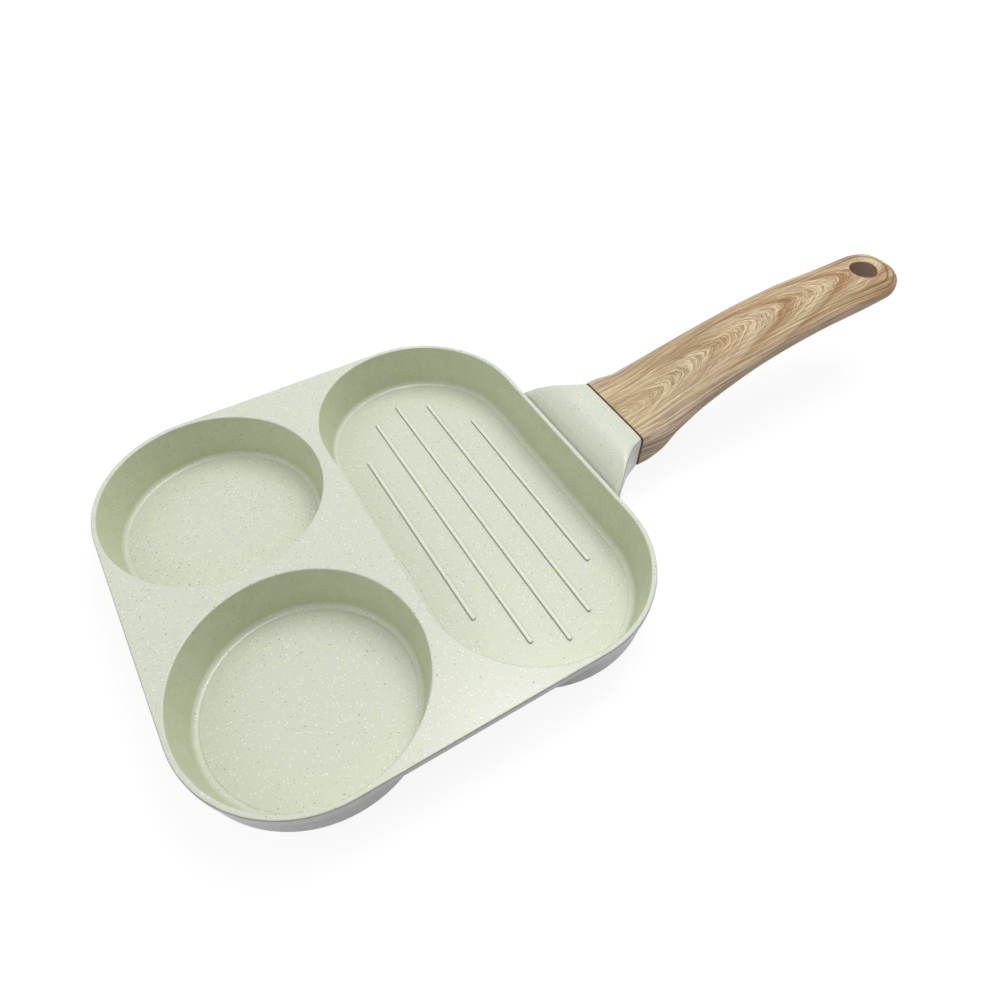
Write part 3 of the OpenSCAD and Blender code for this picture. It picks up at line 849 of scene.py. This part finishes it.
def makeMottled(name):  # two near colours and a roughness that follow one fine noise
    look = withColours(mottledLooks[name])
    material, tree, shader = newMaterial(name, **look["settings"])
    add = partial(addNode, tree)
    place = add("ShaderNodeTexCoord", output="Object")
    cloud = add("ShaderNodeTexNoise",
                {"Vector": place, "Scale": 1 / look["size"], "Detail": 3, "Roughness": 0.6})
    share = add("ShaderNodeMapRange", (cloud, 0.3, 0.7))
    colour = layered(tree, look["first"], [(share, look["second"])])
    tree.links.new(colour, shader.inputs["Base Color"])
    roughness = add("ShaderNodeMapRange", (cloud, 0.3, 0.7, *look["roughness"]))
    tree.links.new(roughness, shader.inputs["Roughness"])
    return material


def markOutside(obj):  # 1 where the body has its plain outer coat, 0 on the speckled top and in the wells
    lean = math.tan(math.radians(pan["innerDraft"]))
    mark = obj.data.attributes.new("outside", "FLOAT", "POINT")
    for vertex in obj.data.vertices:
        x, y, z = vertex.co
        inWell = False
        for well in wells:
            past = max(abs(y - well["y"]) - well["straight"], 0)
            reach = math.hypot(x - well["x"], past)
            limit = well["radius"] - (pan["height"] - z) * lean + mm
            inWell = inWell or (reach < limit and z > pan["floor"] - 0.5 * mm)
        steep = min(max((0.8 - vertex.normal.z) / 0.5, 0), 1)
        mark.data[vertex.index].value = 0.0 if inWell else steep


def paintHandle(obj, wood):  # the bare moulding shows in the holes, and on the end at the neck with painted shade
    for material in (wood, makeMottled("Brown phenolic"), makeMottled("Bare phenolic edge in painted shade")):
        obj.data.materials.append(material)
    slack = 0.02 * mm
    for face in obj.data.polygons:
        x, y, z = face.center
        inHole = math.hypot(x - holeX, y) < handle["holeRadius"] + slack
        inCounterbore = z < tangZ and math.hypot(x - screwX, y) < handle["counterbore"] + slack
        inSocket = (x < seamX + tang["length"] + mm and abs(y) < tang["width"] / 2 + mm
                    and seamBottom + 4 * mm < z < seamTop - 2 * mm)
        # the bare end at the neck, darkened further as painted shade for the gap
        atNeck = x < seamX + 0.5 * mm
        face.material_index = 2 if atNeck else int(inHole or inCounterbore or inSocket)


for obj, material, node, slot in ((panBody, makeCoat(), "pan_body", "coated_aluminium"),
                                  (handleBody, makeWood(), "handle", "wood_look_phenolic")):
    obj.data.materials.clear()
    if obj is handleBody:
        paintHandle(obj, material)
    else:
        obj.data.materials.append(material)
        markOutside(obj)
    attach(obj, "root")
    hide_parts(node)
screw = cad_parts["handle_screw"]
screw.data.materials.clear()
screw.data.materials.append(makeMottled("Zinc plated steel"))
print("materials", len(bpy.data.materials))

# Camera, light and floor

view = {
    "place": Vector((-112.725, -199.424, 288.714)) * mm,
    "target": Vector((4.52, -17.10, 24.6)) * mm,
    "roll": 1.610,
    "lens": 26.873,
    "sensor": 36,
}
cameraData = bpy.data.cameras.new("camera")
cameraData.lens = view["lens"]
cameraData.sensor_width = view["sensor"]
cameraData.sensor_fit = "HORIZONTAL"
camera = newObject("camera", cameraData)
turn = (view["target"] - view["place"]).to_track_quat("-Z", "Y")
turn = turn @ Quaternion((0, 0, 1), math.radians(view["roll"]))
camera.matrix_world = Matrix.Translation(view["place"]) @ turn.to_matrix().to_4x4()
scene.camera = camera
print("camera", view["lens"], "mm")

lamps = {
    "key": {"towards": (0.42, 0.26, 0.87), "size": (0.7, 0.7), "power": 9.2},
    "gleam": {"towards": (0.38, 0.30, 0.87), "size": (0.7, 0.7), "power": 0.3},
    "fill": {"towards": (-0.66, 0.18, 0.73), "size": (0.8, 0.8), "power": 2.8},
    "strip": {"towards": (0.13, 0.1, 0.985), "size": (0.2, 0.54), "power": 7.0},
}
studio = {
    "distance": 1.3,
    "front": (-0.46, -0.57, 0.68),  # the way to the camera, which the lamps' widths are square to
    "ambient": 0.46,
    "backdrop": 1.0,
    "floorHalf": 3,
    "floorBounce": 0.5,  # the floor's grey, for the light that it throws back
    "floorShade": 0.14,  # the share of its white that a shadow takes away
    "floorWhite": (0.89, 1.0),  # the rest of its white beside the pan and far from it
    "floorFade": (0.4, 1.0),  # between these distances the floor turns plain white
}
for name, given in lamps.items():
    towards = Vector(given["towards"]).normalized()
    lampData = bpy.data.lights.new(name, "AREA")
    lampData.shape = "RECTANGLE"
    lampData.size, lampData.size_y = given["size"]
    lampData.energy = given["power"]
    lamp = newObject(name, lampData)
    lamp.visible_diffuse = name != "strip"  # the strip only draws a line on the rounded edges
    lamp.visible_glossy = name in ("gleam", "strip")
    across = towards.cross(Vector(studio["front"])).normalized()
    axes = Matrix((across, towards.cross(across), towards)).transposed()
    lamp.matrix_world = Matrix.Translation(towards * studio["distance"]) @ axes.to_4x4()
print("lamps", len(lamps))


def seenStraight(tree):  # 1 where the camera, a reflection or glass sees the surface, 0 for its own light
    rays = addNode(tree, "ShaderNodeLightPath").node.outputs
    either = addNode(tree, "ShaderNodeMath", (rays["Is Glossy Ray"], rays["Is Transmission Ray"]),
                     operation="MAXIMUM")
    return addNode(tree, "ShaderNodeMath", (rays["Is Camera Ray"], either), operation="MAXIMUM")


def makeWorld():
    world = bpy.data.worlds.new("studio")
    world.use_nodes = True
    tree = world.node_tree
    tree.nodes.clear()
    white = (1, 1, 1, 1)
    seen = seenStraight(tree)
    ambient = addNode(tree, "ShaderNodeBackground", {"Color": white, "Strength": studio["ambient"]})
    backdrop = addNode(tree, "ShaderNodeBackground", {"Color": white, "Strength": studio["backdrop"]})
    mixed = addNode(tree, "ShaderNodeMixShader", (seen, ambient, backdrop))
    addNode(tree, "ShaderNodeOutputWorld", {"Surface": mixed})
    return world


def makePaper():  # matt white paper: it throws back half of the light, and is seen white but for the shadow
    material = bpy.data.materials.new("White paper")
    material.use_nodes = True
    tree = material.node_tree
    tree.nodes.clear()
    bounce, shade = ((value, value, value, 1) for value in (studio["floorBounce"], studio["floorShade"]))
    paper = addNode(tree, "ShaderNodeBsdfDiffuse", {"Color": bounce})
    shaded = addNode(tree, "ShaderNodeBsdfDiffuse", {"Color": shade})
    place = addNode(tree, "ShaderNodeTexCoord", output="Object")
    spread = addNode(tree, "ShaderNodeVectorMath", (place,), "Value", operation="LENGTH")
    whiteness = addNode(tree, "ShaderNodeMapRange", (spread, *studio["floorFade"], *studio["floorWhite"]))
    glow = addNode(tree, "ShaderNodeEmission", {"Color": (1, 1, 1, 1), "Strength": whiteness})
    lit = addNode(tree, "ShaderNodeAddShader", (shaded, glow))
    mixed = addNode(tree, "ShaderNodeMixShader", (seenStraight(tree), paper, lit))
    addNode(tree, "ShaderNodeOutputMaterial", {"Surface": mixed})
    return material


scene.world = makeWorld()
side = studio["floorHalf"]
floorMesh = bpy.data.meshes.new("floor")
floorMesh.from_pydata([(-side, -side, 0), (side, -side, 0), (side, side, 0), (-side, side, 0)],
                      [], [(0, 1, 2, 3)])
floor = newObject("floor", floorMesh)
floor.data.materials.append(makePaper())
print("world and floor")

scene.view_settings.view_transform = "Standard"
